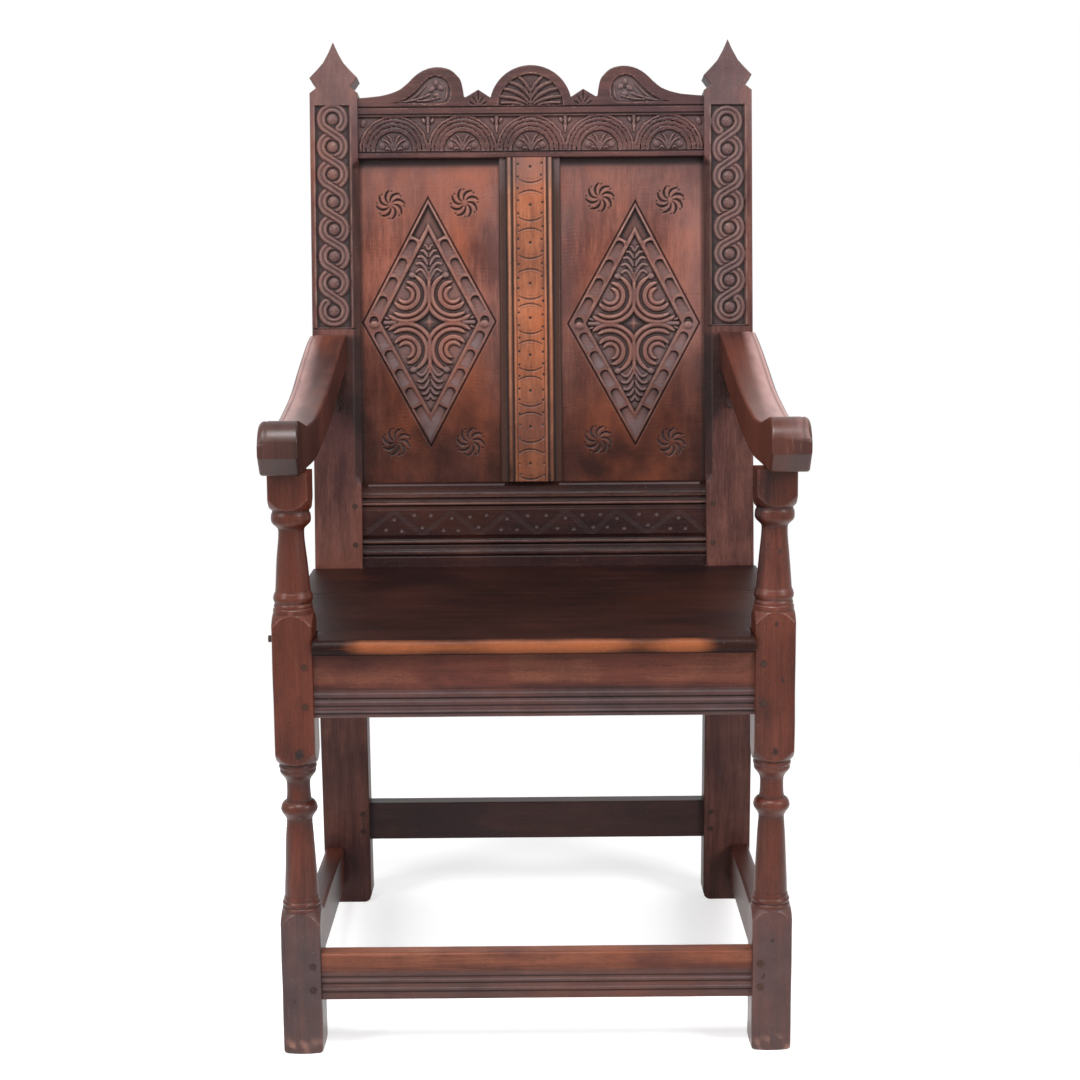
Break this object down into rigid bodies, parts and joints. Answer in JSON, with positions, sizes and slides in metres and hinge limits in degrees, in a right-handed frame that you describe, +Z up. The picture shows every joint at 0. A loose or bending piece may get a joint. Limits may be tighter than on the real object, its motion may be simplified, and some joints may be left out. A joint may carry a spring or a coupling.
{
  "type": "wainscot armchair",
  "caption": "Joined oak armchair with a carved panelled back, a scrolled crest rail, pointed finials, down-curved scrolled arms, a board seat and turned front posts joined by low stretchers.",
  "frame": {"origin": "middle of the footprint, on the floor", "axes": "+Z up; the sitter faces -Y; +X is to the right seen from the front"},
  "size_m": [0.5812, 0.6162, 1.1354],
  "materials": {
    "oak_back": "satin",
    "oak_panel": "satin",
    "oak_muntin": "satin",
    "oak_frame": "satin",
    "oak_seat": "satin",
    "oak_peg": "satin"
  },
  "bodies": {
    "root": {"stile_left": "oak_back", "stile_right": "oak_back", "crest_rail": "oak_back", "lower_back_rail": "oak_back", "panel_left": "oak_panel", "panel_right": "oak_panel", "muntin": "oak_muntin", "front_post_left": "oak_frame", "front_post_right": "oak_frame", "arm_left": "oak_frame", "arm_right": "oak_frame", "front_seat_rail": "oak_frame", "front_stretcher": "oak_frame", "rear_seat_rail": "oak_frame", "rear_stretcher": "oak_frame", "side_seat_rail_left": "oak_frame", "side_seat_rail_right": "oak_frame", "side_stretcher_left": "oak_frame", "side_stretcher_right": "oak_frame", "seat_board_front": "oak_seat", "seat_board_rear": "oak_seat", "pegs_front_rail": "oak_peg", "pegs_front_stretcher": "oak_peg", "pegs_rear_rail": "oak_peg", "pegs_rear_stretcher": "oak_peg", "pegs_side_rails": "oak_peg", "pegs_side_stretchers": "oak_peg", "pegs_lower_back_rail": "oak_peg", "pegs_crest_rail": "oak_peg", "pegs_arms": "oak_peg", "pins_under_arms": "oak_peg"}
  },
  "joints": []
}
